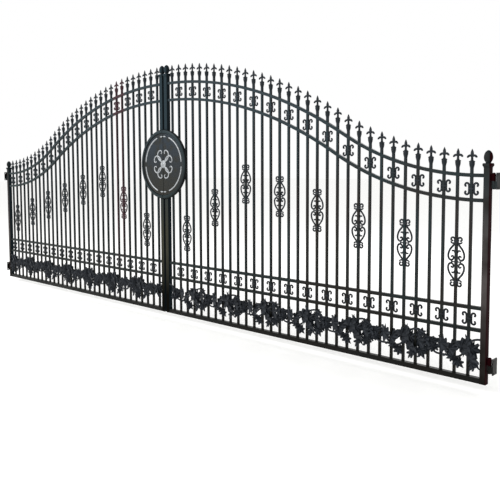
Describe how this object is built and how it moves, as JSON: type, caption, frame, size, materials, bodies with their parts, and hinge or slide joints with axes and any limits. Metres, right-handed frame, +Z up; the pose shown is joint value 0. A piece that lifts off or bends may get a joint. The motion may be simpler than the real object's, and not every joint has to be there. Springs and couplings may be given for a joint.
{
  "type": "double-leaf ornamental iron driveway gate",
  "caption": "Double-leaf wrought iron driveway gate with ogee top, spear-headed pickets, scroll castings, vine panel and a round centre medallion, on wall-plate hinges.",
  "frame": {"origin": "centre of the outer flat face of the left lower wall plate, midway between its four bolt holes", "axes": "+X across the gateway to the right as seen from the front, +Y away from the viewer (the way both leaves open), +Z up"},
  "size_m": [6.9206, 0.077, 2.531],
  "materials": {
    "black_paint": "satin",
    "slate_paint": "satin",
    "silver_paint": "satin"
  },
  "bodies": {
    "wall_brackets": {"left_wall_brackets": "black_paint", "right_wall_brackets": "black_paint"},
    "left_leaf": {"left_band_lower_rail": "black_paint", "left_band_upper_rail": "black_paint", "left_bottom_butterflies": "black_paint", "left_bottom_rail": "black_paint", "left_curved_lower_rail": "black_paint", "left_curved_upper_rail": "black_paint", "left_hinge_knuckles": "black_paint", "left_hinge_stile": "black_paint", "left_medallion_dish": "slate_paint", "left_medallion_ring": "silver_paint", "left_medallion_rosette": "silver_paint", "left_meeting_stile": "black_paint", "left_oval_castings": "black_paint", "left_pickets": "black_paint", "left_spear_heads": "black_paint", "left_stile_caps": "black_paint", "left_top_butterflies": "black_paint", "left_vine": "black_paint"},
    "right_leaf": {"right_band_lower_rail": "black_paint", "right_band_upper_rail": "black_paint", "right_bottom_butterflies": "black_paint", "right_bottom_rail": "black_paint", "right_curved_lower_rail": "black_paint", "right_curved_upper_rail": "black_paint", "right_hinge_knuckles": "black_paint", "right_hinge_stile": "black_paint", "right_medallion_dish": "slate_paint", "right_medallion_ring": "silver_paint", "right_medallion_rosette": "silver_paint", "right_meeting_stile": "black_paint", "right_oval_castings": "black_paint", "right_pickets": "black_paint", "right_spear_heads": "black_paint", "right_stile_caps": "black_paint", "right_top_butterflies": "black_paint", "right_vine": "black_paint"}
  },
  "joints": [
    {"name": "left_leaf_hinge", "type": "hinge", "parent": "wall_brackets", "child": "left_leaf", "pos_m": [0.036, 0, 0], "axis": [0, 0, 1], "range_deg": [0, 90]},
    {"name": "right_leaf_hinge", "type": "hinge", "parent": "wall_brackets", "child": "right_leaf", "pos_m": [6.8846, 0, 0], "axis": [0, 0, -1], "range_deg": [0, 90]}
  ]
}
